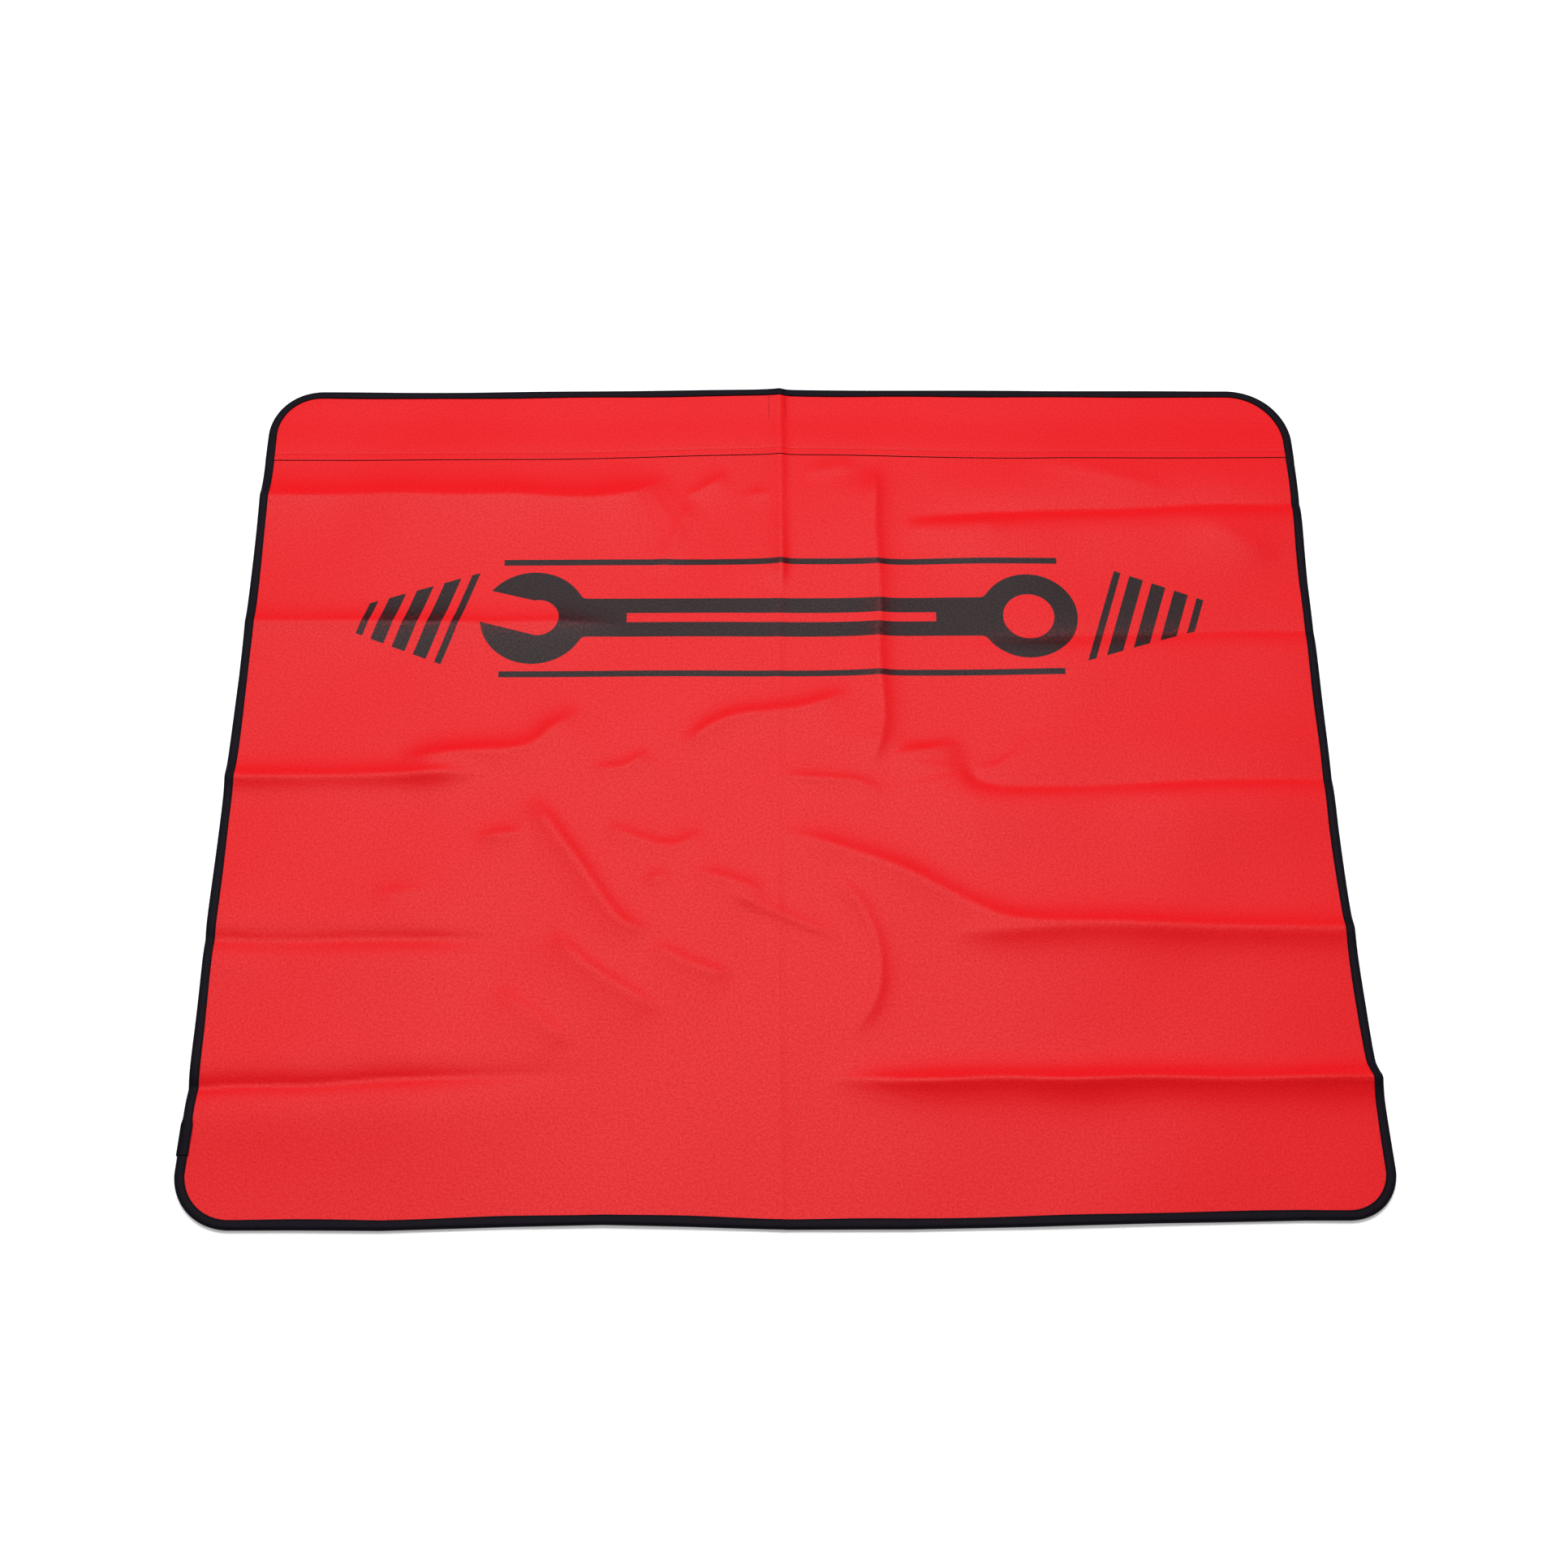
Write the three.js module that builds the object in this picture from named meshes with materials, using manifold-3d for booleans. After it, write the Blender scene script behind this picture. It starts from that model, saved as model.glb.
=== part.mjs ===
// A magnetic wing cover: the padded sheet that a mechanic lays over a car's wing while working on the
// engine. A red leatherette face, a thin foam and a fleece lining are sewn together inside a black edge
// binding, with flexible magnets in two pockets along the top edge. Millimetres, +Z up. The cover lies flat
// and face up. The origin is on the surface under its middle, +X runs along the width and +Y towards the
// magnets. The real layers run unbroken across the centre fold; here each ends there, so that the two
// halves can turn about it.
import * as THREE from "three";
import { mergeVertices } from "three/addons/utils/BufferGeometryUtils.js";
import Module from "manifold-3d";

const wasm = await Module();
wasm.setup();

// ---- driving dimensions -----------------------------------------------------------------------------
const COVER_WIDTH = 1000;       // over the binding, along X
const COVER_LENGTH = 850;       // over the binding, along Y
const CORNER_RADIUS = 50;       // of the binding's outer edge
const BINDING_WIDTH = 8.5;      // how far the binding reaches in over the face and over the back
const BINDING_WALL = 0.8;
const LINING_THICKNESS = 0.6;   // where the binding presses the fleece flat
const FOAM_THICKNESS = 1.2;     // and of the magnets, which take the foam's place in the header
const FACE_THICKNESS = 0.8;     // of the leatherette, in the face and in the header band
const HEADER_DEPTH = 80;        // from the top edge to the free edge of the header band
const HEADER_LAP = 12;          // how far the header band laps over the face
const HEADER_STITCH_INSET = 7;  // from the header band's free edge to its row of stitches
const BINDING_STITCH_INSET = 2; // from the binding's inner edge to its row of stitches
const FOLD_STITCH_OFFSET = 8;   // from the centre fold to the row of stitches that ends a magnet pocket
const THREAD_WIDTH = 0.6;
const THREAD_HEIGHT = 0.3;
const MAGNETS_PER_SIDE = 3;
const MAGNET_END_GAP = 12;      // between the magnets of a row, and from them to the pocket's ends
const MAGNET_SIDE_GAP = 7;      // from a magnet to the pocket's two long seams
const LAYER_GAP = 0.2;          // between layers that lie on each other
const THREAD_GAP = 0.15;        // between a thread and the groove that it pulls into the cloth
const FOAM_SETBACK = 1;         // from the binding to the foam, so that the rim sews flat
const FOLD_GAP = 0.4;           // between the two halves at the centre fold
const ARC_SEGMENTS = 12;        // in each rounded corner
const PAST = 5;                 // how far a cutting solid reaches past what it cuts

// ---- levels and lines that follow from them ---------------------------------------------------------
const LINING_BOTTOM = BINDING_WALL + LAYER_GAP;
const LINING_TOP = LINING_BOTTOM + LINING_THICKNESS;
const FILLING_BOTTOM = LINING_TOP + LAYER_GAP;
const MAGNET_THICKNESS = FOAM_THICKNESS;
const FACE_BOTTOM = FILLING_BOTTOM + FOAM_THICKNESS + LAYER_GAP;
const FACE_TOP = FACE_BOTTOM + FACE_THICKNESS;
const LAP_BOTTOM = FACE_TOP + LAYER_GAP;
const LAP_TOP = LAP_BOTTOM + FACE_THICKNESS;
const BINDING_MOUTH_TOP = FACE_TOP + LAYER_GAP;
const BINDING_TOP = BINDING_MOUTH_TOP + BINDING_WALL;
const GROOVE_WIDTH = THREAD_WIDTH + 2 * THREAD_GAP;
const GROOVE_DEPTH = THREAD_HEIGHT + THREAD_GAP;
const LAYER_INSET = BINDING_WALL + LAYER_GAP;
const BINDING_STITCH_LINE = BINDING_WIDTH - BINDING_STITCH_INSET;
const HEADER_EDGE_Y = COVER_LENGTH / 2 - HEADER_DEPTH;
const HEADER_STITCH_Y = HEADER_EDGE_Y + HEADER_STITCH_INSET;
const FACE_END_Y = HEADER_EDGE_Y + HEADER_LAP;
const STEP_Y = FACE_END_Y + LAYER_GAP;
const STEP_END_Y = STEP_Y + FACE_THICKNESS;
const INSIDE_BINDING_X = COVER_WIDTH / 2 - BINDING_WIDTH - LAYER_GAP;
const INSIDE_BINDING_Y = COVER_LENGTH / 2 - BINDING_WIDTH - LAYER_GAP;
const POCKET_END_X = COVER_WIDTH / 2 - CORNER_RADIUS;

// ---- solids -----------------------------------------------------------------------------------------
function solidOf(geometry) {
  geometry.deleteAttribute("normal");
  geometry.deleteAttribute("uv");
  const merged = mergeVertices(geometry, 1e-4);
  const mesh = new wasm.Mesh({
    numProp: 3,
    vertProperties: new Float32Array(merged.attributes.position.array),
    triVerts: new Uint32Array(merged.index.array),
  });
  return new wasm.Manifold(mesh);
}

function geometryOf(solid) {
  const mesh = solid.getMesh();
  const indexed = new THREE.BufferGeometry();
  indexed.setAttribute("position", new THREE.BufferAttribute(mesh.vertProperties, 3));
  indexed.setIndex(new THREE.BufferAttribute(mesh.triVerts, 1));
  const faceted = indexed.toNonIndexed();
  faceted.computeVertexNormals();
  return faceted;
}

// A box from three spans, each [low, high].
function block(x, y, z) {
  const geometry = new THREE.BoxGeometry(x[1] - x[0], y[1] - y[0], z[1] - z[0]);
  geometry.translate((x[0] + x[1]) / 2, (y[0] + y[1]) / 2, (z[0] + z[1]) / 2);
  return solidOf(geometry);
}

// The span of X from near to far of the fold. side is 1 for the right half and -1 for the left half.
function awayFromFold(side, near, far) {
  return side > 0 ? [near, far] : [-far, -near];
}

// Half of the cover's outline, drawn in by inset from the outer edge, from foldX to the outer side.
function halfOutline(side, inset, foldX) {
  const outerX = COVER_WIDTH / 2 - inset;
  const topY = COVER_LENGTH / 2 - inset;
  const radius = CORNER_RADIUS - inset;
  const shape = new THREE.Shape();
  const roundCorner = (centreY, startAngle) => {
    for (let i = 0; i <= ARC_SEGMENTS; i++) {
      const angle = startAngle + (Math.PI / 2) * (i / ARC_SEGMENTS);
      const x = outerX - radius + radius * Math.cos(angle);
      shape.lineTo(side * x, centreY + radius * Math.sin(angle));
    }
  };
  shape.moveTo(side * foldX, -topY);
  roundCorner(radius - topY, -Math.PI / 2);
  roundCorner(topY - radius, 0);
  shape.lineTo(side * foldX, topY);
  shape.closePath();
  return shape;
}

function plate(side, inset, z, foldX = FOLD_GAP / 2) {
  const geometry = new THREE.ExtrudeGeometry(halfOutline(side, inset, foldX), {
    depth: z[1] - z[0],
    bevelEnabled: false,
  });
  geometry.translate(0, 0, z[0]);
  return solidOf(geometry);
}

// A cutting plate, which runs past the fold.
function cutter(side, inset, z) {
  return plate(side, inset, z, -PAST);
}

// A band that follows the rim, centred on a line drawn in by inset from the outer edge.
function rimBand(side, inset, width, z) {
  const middle = cutter(side, inset + width / 2, [z[0] - PAST, z[1] + PAST]);
  return plate(side, inset - width / 2, z).subtract(middle);
}

// ---- rows of stitches, and the grooves that they pull into the layers -------------------------------
function bindingRow(side, width, z) {
  return rimBand(side, BINDING_STITCH_LINE, width, z);
}

function headerRow(side, width, z) {
  const x = awayFromFold(side, FOLD_GAP / 2, INSIDE_BINDING_X);
  return block(x, [HEADER_STITCH_Y - width / 2, HEADER_STITCH_Y + width / 2], z);
}

// The row that closes the fold end of a magnet pocket, from the header band's step up to the binding.
function pocketRow(side, width, z) {
  const x = awayFromFold(side, FOLD_STITCH_OFFSET - width / 2, FOLD_STITCH_OFFSET + width / 2);
  return block(x, [STEP_END_Y + THREAD_GAP, INSIDE_BINDING_Y], z);
}

// ---- the pieces of one half -------------------------------------------------------------------------
// A tape folded round the rim, which its stitches pull in on both sides.
function edgeBinding(side) {
  const tape = plate(side, 0, [0, BINDING_TOP]);
  const mouth = cutter(side, BINDING_WALL, [BINDING_WALL, BINDING_MOUTH_TOP]);
  const window = cutter(side, BINDING_WIDTH, [-PAST, BINDING_TOP + PAST]);
  return tape
    .subtract(mouth)
    .subtract(window)
    .subtract(bindingRow(side, GROOVE_WIDTH, [-PAST, GROOVE_DEPTH]))
    .subtract(bindingRow(side, GROOVE_WIDTH, [BINDING_TOP - GROOVE_DEPTH, BINDING_TOP + PAST]));
}

// The fleece against the paintwork. Its pile stands level with the binding's underside, and is pressed flat
// where the binding holds it and where the rows of the magnet pocket pull it in.
function backingLining(side) {
  const pile = plate(side, BINDING_WIDTH + LAYER_GAP, [0, LINING_TOP]);
  const pulledIn = [-PAST, LINING_BOTTOM + GROOVE_DEPTH];
  return plate(side, LAYER_INSET, [LINING_BOTTOM, LINING_TOP])
    .add(pile)
    .subtract(headerRow(side, GROOVE_WIDTH, pulledIn))
    .subtract(pocketRow(side, GROOVE_WIDTH, pulledIn));
}

// The foam ends below the header's row of stitches, which leaves the pocket free for the magnets.
function foamPadding(side) {
  const z = [FILLING_BOTTOM, FILLING_BOTTOM + FOAM_THICKNESS];
  const endY = HEADER_STITCH_Y - GROOVE_WIDTH;
  const belowHeader = block(awayFromFold(side, 0, COVER_WIDTH), [-COVER_LENGTH, endY], z);
  return plate(side, BINDING_WIDTH + FOAM_SETBACK, z).intersect(belowHeader);
}

// The face ends under the header band's lap.
function faceSkin(side) {
  const z = [FACE_BOTTOM, FACE_TOP];
  const belowLap = block(awayFromFold(side, 0, COVER_WIDTH), [-COVER_LENGTH, FACE_END_Y], z);
  return plate(side, LAYER_INSET, z).intersect(belowLap);
}

// A strip level with the face, whose lower edge steps up over the face and laps it between the bindings.
function headerBand(side) {
  const level = [FACE_BOTTOM, FACE_TOP];
  const aboveStep = block(awayFromFold(side, 0, COVER_WIDTH), [STEP_Y, COVER_LENGTH], level);
  const strip = plate(side, LAYER_INSET, level).intersect(aboveStep);
  const x = awayFromFold(side, FOLD_GAP / 2, INSIDE_BINDING_X);
  const step = block(x, [STEP_Y, STEP_END_Y], [FACE_BOTTOM, LAP_TOP]);
  const lap = block(x, [HEADER_EDGE_Y, STEP_END_Y], [LAP_BOTTOM, LAP_TOP]);
  const pulledIn = headerRow(side, GROOVE_WIDTH, [LAP_TOP - GROOVE_DEPTH, LAP_TOP + PAST]);
  return strip.add(step).add(lap).subtract(pulledIn);
}

// A strip of rubber-bonded magnet, one of the row in this half's pocket, counted outwards from the fold. The
// row ends where the cover's corner begins to round.
function magnetStrip(side, index) {
  const pocketStart = FOLD_STITCH_OFFSET + GROOVE_WIDTH / 2;
  const pitch = (POCKET_END_X - pocketStart - MAGNET_END_GAP) / MAGNETS_PER_SIDE;
  const start = pocketStart + MAGNET_END_GAP + index * pitch;
  const bottomY = HEADER_STITCH_Y + GROOVE_WIDTH / 2 + MAGNET_SIDE_GAP;
  return block(
    awayFromFold(side, start, start + pitch - MAGNET_END_GAP),
    [bottomY, INSIDE_BINDING_Y - MAGNET_SIDE_GAP],
    [FILLING_BOTTOM, FILLING_BOTTOM + MAGNET_THICKNESS],
  );
}

// ---- the assembly -----------------------------------------------------------------------------------
function finish(color, roughness) {
  return new THREE.MeshStandardMaterial({ color, roughness, metalness: 0 });
}

const RED_LEATHERETTE = finish(0xe3202a, 0.55);
const BLACK_TAPE = finish(0x17161c, 0.7);
const GREY_FLEECE = finish(0x3a3b3f, 0.95);
const PALE_FOAM = finish(0xd8d5cc, 0.9);
const BLACK_THREAD = finish(0x111114, 0.6);
const RED_THREAD = finish(0xa8141c, 0.6);
const MAGNET_RUBBER = finish(0x34302e, 0.7);

const BINDING_FACE = [BINDING_TOP - THREAD_HEIGHT, BINDING_TOP];
const BINDING_BACK = [0, THREAD_HEIGHT];
const LAP_FACE = [LAP_TOP - THREAD_HEIGHT, LAP_TOP];
const HEADER_FACE = [FACE_TOP + THREAD_GAP, FACE_TOP + THREAD_GAP + THREAD_HEIGHT];
const LINING_BACK = [LINING_BOTTOM, LINING_BOTTOM + THREAD_HEIGHT];

const cover = new THREE.Group();

function addPiece(name, solid, material) {
  const mesh = new THREE.Mesh(geometryOf(solid), material);
  mesh.name = name;
  cover.add(mesh);
}

function addHalf(half, side) {
  addPiece(`backing_lining_${half}`, backingLining(side), GREY_FLEECE);
  addPiece(`foam_padding_${half}`, foamPadding(side), PALE_FOAM);
  addPiece(`face_skin_${half}`, faceSkin(side), RED_LEATHERETTE);
  for (let i = 0; i < MAGNETS_PER_SIDE; i++) {
    addPiece(`magnet_strip_${half}_${i + 1}`, magnetStrip(side, i), MAGNET_RUBBER);
  }
  addPiece(`header_band_${half}`, headerBand(side), RED_LEATHERETTE);
  addPiece(`header_needle_thread_${half}`, headerRow(side, THREAD_WIDTH, LAP_FACE), RED_THREAD);
  addPiece(`header_bobbin_thread_${half}`, headerRow(side, THREAD_WIDTH, LINING_BACK), RED_THREAD);
  addPiece(`pocket_needle_thread_${half}`, pocketRow(side, THREAD_WIDTH, HEADER_FACE), RED_THREAD);
  addPiece(`pocket_bobbin_thread_${half}`, pocketRow(side, THREAD_WIDTH, LINING_BACK), RED_THREAD);
  addPiece(`edge_binding_${half}`, edgeBinding(side), BLACK_TAPE);
  addPiece(`binding_needle_thread_${half}`, bindingRow(side, THREAD_WIDTH, BINDING_FACE), BLACK_THREAD);
  addPiece(`binding_bobbin_thread_${half}`, bindingRow(side, THREAD_WIDTH, BINDING_BACK), BLACK_THREAD);
}

addHalf("right", 1);
addHalf("left", -1);

export default cover;
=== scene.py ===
# A magnetic wing cover, laid out flat with its face up. It has just been unfolded, so the creases that
# it was packed with still stand in it. Each layer is made flat, as on the cutting table, and is then laid
# down over the same creases as the layers under it.
import math
import bpy
import numpy as np
from mathutils import Matrix, Vector


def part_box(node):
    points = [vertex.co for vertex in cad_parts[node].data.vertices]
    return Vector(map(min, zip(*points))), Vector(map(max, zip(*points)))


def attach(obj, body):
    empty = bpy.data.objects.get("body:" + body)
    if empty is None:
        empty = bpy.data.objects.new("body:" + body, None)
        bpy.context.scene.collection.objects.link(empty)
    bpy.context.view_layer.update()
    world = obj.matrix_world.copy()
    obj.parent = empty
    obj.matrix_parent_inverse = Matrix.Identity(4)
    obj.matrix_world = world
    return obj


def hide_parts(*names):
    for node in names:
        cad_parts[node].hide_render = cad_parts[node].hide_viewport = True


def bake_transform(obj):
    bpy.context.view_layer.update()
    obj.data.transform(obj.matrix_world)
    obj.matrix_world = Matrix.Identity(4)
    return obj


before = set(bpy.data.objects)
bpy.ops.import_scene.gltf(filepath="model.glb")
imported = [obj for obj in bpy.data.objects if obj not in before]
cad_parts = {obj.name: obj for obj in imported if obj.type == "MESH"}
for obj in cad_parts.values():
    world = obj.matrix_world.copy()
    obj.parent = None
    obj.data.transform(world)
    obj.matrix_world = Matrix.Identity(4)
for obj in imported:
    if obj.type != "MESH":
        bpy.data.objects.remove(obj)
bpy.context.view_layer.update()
bpy.ops.object.select_all(action="DESELECT")

# ---- Backing lining ------------------------------------------------------------------------------------
# The side that lies on the paint: a black brushed polyester fleece, cut as one piece with rounded
# corners. Its pile is pressed thin where the binding grips it, and stands down level with the binding
# everywhere else. All the other layers follow its outline and its creases.

MM = 0.001
HALF_WIDTH, HALF_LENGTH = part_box("edge_binding_right")[1].xy
LINING_LOW, LINING_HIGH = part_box("backing_lining_right")
RIM_INSET = HALF_WIDTH - LINING_HIGH.x
BINDING_REACH = HALF_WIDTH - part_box("foam_padding_right")[1].x
PRESSED_AWAY = 1.0 * MM
PRESSING_RUN = 3 * MM
# The rim's corners, anticlockwise: (side, end, radius). They were cut by hand, so they differ.
CORNERS = [(-1, -1, 50 * MM), (1, -1, 44 * MM), (1, 1, 60 * MM), (-1, 1, 50 * MM)]

# The creases, in millimetres on the flat cover. A ridge stands up along its path, and a valley lies on
# the surface between two low swells. Every path runs to the right or downwards. The widths say how soon
# the crease dies away on the left and on the right of the path, crest is the radius of a crest that is
# blunt on its right, and fade is how far each end takes to run out.
RIDGES = [
    # the fold down the middle
    {"path": [(3, 470), (3, 300), (3, 190)], "height": 2.6, "left": 5, "right": 16, "fade": 30},
    {"path": [(3, 250), (-3, 60), (-5, -100), (-4, -470)],
     "height": 0.6, "left": 4, "right": 7, "fade": 40},
    {"path": [(-36, 299), (-4, 300)], "height": 1.0, "left": 6, "right": 10, "fade": 14},
    {"path": [(22, 324), (80, 336)], "height": 1.0, "left": 6, "right": 10, "fade": 20},
    # cross folds of the left half
    {"path": [(-580, 301), (-300, 302), (-180, 297), (-130, 301), (-100, 325)],
     "height": 6.6, "left": 16, "right": 60, "fade": 60},
    {"path": [(-620, 159), (-440, 158), (-300, 158), (-130, 156)],
     "height": 3.2, "left": 11, "right": 24, "fade": 110},
    {"path": [(-560, -4), (-400, -4), (-260, 0)],
     "height": 4.2, "left": 10, "right": 9, "crest": 6, "fade": 60},
    {"path": [(-350, 12), (-290, 21), (-228, 22), (-205, 46), (-175, 66)],
     "height": 4.4, "left": 11, "right": 28, "fade": 45},
    {"path": [(-362, -124), (-306, -119)], "height": 1.3, "left": 8, "right": 14, "fade": 26},
    # cross folds of the right half
    {"path": [(-10, -60), (50, -76), (105, -100), (160, -132), (205, -153), (330, -156), (560, -161)],
     "height": 4.0, "left": 11, "right": 36, "crest": 2, "fade": 60},
    {"path": [(132, -166), (190, -158), (330, -158), (560, -163)],
     "height": 3.2, "left": 60, "right": 13, "crest": 6, "fade": 60},
    {"path": [(20, -297), (160, -298), (330, -299), (640, -302)],
     "height": 7.4, "left": 13, "right": 16, "crest": 2, "fade": 110},
    {"path": [(116, 261), (162, 265), (222, 269)],
     "height": 1.5, "left": 7, "right": 20, "fade": 24},
    {"path": [(240, 345), (320, 329), (392, 299)],
     "height": 1.2, "left": 18, "right": 18, "fade": 50},
    {"path": [(392, 275), (440, 242), (476, 220)],
     "height": 1.6, "left": 14, "right": 22, "fade": 40},
    # beside the middle fold, where the folded stack buckled
    {"path": [(93, 337), (94, 206), (93, 96), (94, 40), (80, -6)],
     "height": 3.2, "left": 10, "right": 26, "fade": 40},
    {"path": [(-76, 299), (-92, 269), (-104, 234), (-113, 204)],
     "height": 1.3, "left": 8, "right": 12, "fade": 30},
    {"path": [(-96, 295), (-72, 305), (-45, 327)],
     "height": 1.8, "left": 7, "right": 16, "fade": 22},
    {"path": [(-98, 21), (-72, 41), (-38, 59), (15, 63), (70, 83)],
     "height": 3.2, "left": 8, "right": 26, "fade": 40},
    {"path": [(95, 12), (125, 18), (150, 26), (172, 20)],
     "height": 2.0, "left": 6, "right": 18, "fade": 26},
    {"path": [(-5, -6), (45, -8), (72, -12), (98, -28)],
     "height": 1.4, "left": 5, "right": 12, "fade": 26},
    {"path": [(-175, 4), (-145, 0), (-118, 24)], "height": 1.7, "left": 5, "right": 16, "fade": 20},
    # crow's-feet in the middle
    {"path": [(-229, -22), (-205, -56), (-179, -92), (-161, -126), (-139, -154), (-109, -158)],
     "height": 3.4, "left": 8, "right": 22, "fade": 36},
    {"path": [(-160, -54), (-122, -70), (-96, -78), (-64, -58)],
     "height": 1.9, "left": 6, "right": 18, "fade": 24},
    {"path": [(-125, -116), (-98, -98)], "height": 1.4, "left": 5, "right": 12, "fade": 14},
    {"path": [(-84, -98), (-46, -108), (-6, -126)],
     "height": 2.0, "left": 6, "right": 20, "fade": 28},
    {"path": [(-55, -118), (-10, -140), (55, -170)],
     "height": 1.5, "left": 9, "right": 4, "fade": 30},
    {"path": [(38, -98), (63, -122), (79, -152), (84, -186), (79, -224), (56, -264)],
     "height": 2.4, "left": 8, "right": 12, "fade": 44},
    {"path": [(-118, -166), (-78, -190), (-38, -201)],
     "height": 1.9, "left": 6, "right": 22, "fade": 24},
    {"path": [(-204, -152), (-184, -178), (-146, -206), (-98, -236)],
     "height": 2.3, "left": 6, "right": 26, "fade": 34},
    {"path": [(-248, -208), (-206, -240), (-178, -266)],
     "height": 1.7, "left": 6, "right": 20, "fade": 26},
    {"path": [(-276, -67), (-222, -63)], "height": 2.4, "left": 7, "right": 13, "fade": 22},
]
VALLEYS = [
    {"path": [(110, 273), (200, 279), (330, 287), (580, 292)],
     "height": 5.6, "left": 50, "right": 10, "fade": 80},
    {"path": [(150, 140), (330, 143), (420, 146), (640, 146)],
     "height": 2.6, "left": 40, "right": 9, "fade": 130},
    {"path": [(176, 22), (170, -2), (186, -16), (260, -18), (400, -12), (560, -10)],
     "height": 4.4, "left": 50, "right": 12, "fade": 34},
    {"path": [(-600, -165), (-380, -164), (-230, -167)],
     "height": 2.8, "left": 9, "right": 8, "crest": 6, "fade": 90},
    {"path": [(-760, -306), (-560, -303), (-380, -297), (-250, -291), (-130, -288)],
     "height": 4.8, "left": 12, "right": 14, "fade": 250},
]
CREST_RADIUS = 1.4 * MM
# All the creases' widths are taken at this share, which makes every crease a little sharper.
WIDTH_SHARE = 0.85
# How wide the swells beside a valley are, how high a crease is whose skin is worn right through, and how
# far the wear reaches from its crest.
SWELL_WIDTH = 62 * MM
WORN_HEIGHT = 4 * MM
WORN_REACH = 7 * MM


def smooth(t):
    t = np.clip(t, 0, 1)
    return t * t * (3 - 2 * t)


def rounded(path):
    """The path with its corners cut twice."""
    points = np.array(path, float) * MM
    for _ in range(2):
        early = 0.75 * points[:-1] + 0.25 * points[1:]
        late = 0.25 * points[:-1] + 0.75 * points[1:]
        cut = np.stack([early, late], 1).reshape(-1, 2)
        points = np.vstack([points[:1], cut[1:-1], points[-1:]])
    return points


def near_crease(x, y, crease):
    """For each place: how far it is from the crease, how high the crest is beside it, and what share of
    that height reaches it."""
    points = rounded(crease["path"])
    away, side, travel = np.full(x.shape, np.inf), np.zeros(x.shape), np.zeros(x.shape)
    gone = 0.0
    for (ax, ay), (bx, by) in zip(points, points[1:]):
        length = math.hypot(bx - ax, by - ay)
        ux, uy = (bx - ax) / length, (by - ay) / length
        t = np.clip((x - ax) * ux + (y - ay) * uy, 0, length)
        dx, dy = x - ax - t * ux, y - ay - t * uy
        nearer = np.hypot(dx, dy) < away
        away = np.where(nearer, np.hypot(dx, dy), away)
        side = np.where(nearer, ux * dy - uy * dx, side)
        travel = np.where(nearer, gone + t, travel)
        gone += length
    width = np.where(side > 0, crease["left"], crease["right"]) * WIDTH_SHARE * MM
    radius = np.where(side > 0, CREST_RADIUS, max(CREST_RADIUS, crease.get("crest", 0) * MM))
    fade = crease["fade"] * MM
    ends = smooth(travel / fade) * smooth((gone - travel) / fade)
    # A crest rises and falls by up to a seventh along its length.
    start_x, start_y = points[0]
    uneven = 1 + 0.10 * np.sin(travel * 29 + start_y * 40) + 0.05 * np.sin(travel * 61 + start_x * 9)
    crest = crease["height"] * MM * ends * uneven
    return away, crest, np.exp((radius - np.hypot(away, radius)) / width)


def relief(x, y):
    """How high the cover stands off the surface at each flat place, and how worn its skin is there."""
    # Between the creases the cover isn't quite flat either: two low waves, 1.0 and 0.6 mm high, cross it.
    lift = 0.5 * MM * (1 + np.sin(x * 17 + 0.6) * np.cos(y * 21 + 0.4))
    lift = lift + 0.3 * MM * (1 + np.sin(x * 31 - y * 26 + 1.1))
    # Only the middle crease runs dead straight, so other places are looked up about a millimetre aside.
    off_fold = smooth(np.abs(x) / (40 * MM))
    wander_x = x + off_fold * 1.2 * MM * np.sin(y * 47 + 2 * np.sin(x * 13))
    wander_y = y + off_fold * 1.0 * MM * np.sin(x * 31 + 2.5 * np.sin(x * 9 + y * 7))
    worn = np.zeros(x.shape)
    for crease in RIDGES + VALLEYS:
        away, crest, share = near_crease(wander_x, wander_y, crease)
        if crease in VALLEYS:
            lift = lift + crest * (np.exp(-((away / SWELL_WIDTH) ** 2)) - share)
        else:
            lift = lift + crest * share
        worn = np.maximum(worn, np.clip(crest / WORN_HEIGHT, 0, 1) * np.exp(-away / WORN_REACH))
    return np.maximum(lift, 0), worn


# How far the edges were pulled out of line as the cover was spread by hand, in millimetres: (place, pull)
# along each side, outwards, and along the bottom, upwards. The top edge is pulled up, and most of all at
# the middle fold.
SIDE_PULLS = {
    1: [(-425, 5), (-340, 3.5), (-318, 3), (-300, 3), (-285, 0), (-230, -1), (-150, -3), (-60, -3),
        (0, -2), (100, 0), (200, 1.5), (300, 5), (425, 6)],
    -1: [(-425, 3), (-380, 2), (-340, 0), (-300, -1), (-150, 0), (0, 0), (100, -1.5), (200, -1.5),
         (425, -2)],
}
BOTTOM_PULLS = [(-500, 3.5), (-400, 3), (-330, 2), (-230, 4.5), (-150, 5.5), (-80, 3.5), (0, 0.5),
                (100, 0), (200, 1.3), (300, 3.4), (420, 5), (500, 4.2)]
MIDDLE_PULL, MIDDLE_REACH = 6 * MM, 150 * MM
HEADER_PULL = 3.5 * MM


def pull_at(at, pulls):
    places, amounts = np.array(pulls).T * MM
    return np.interp(at, places, amounts)


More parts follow.
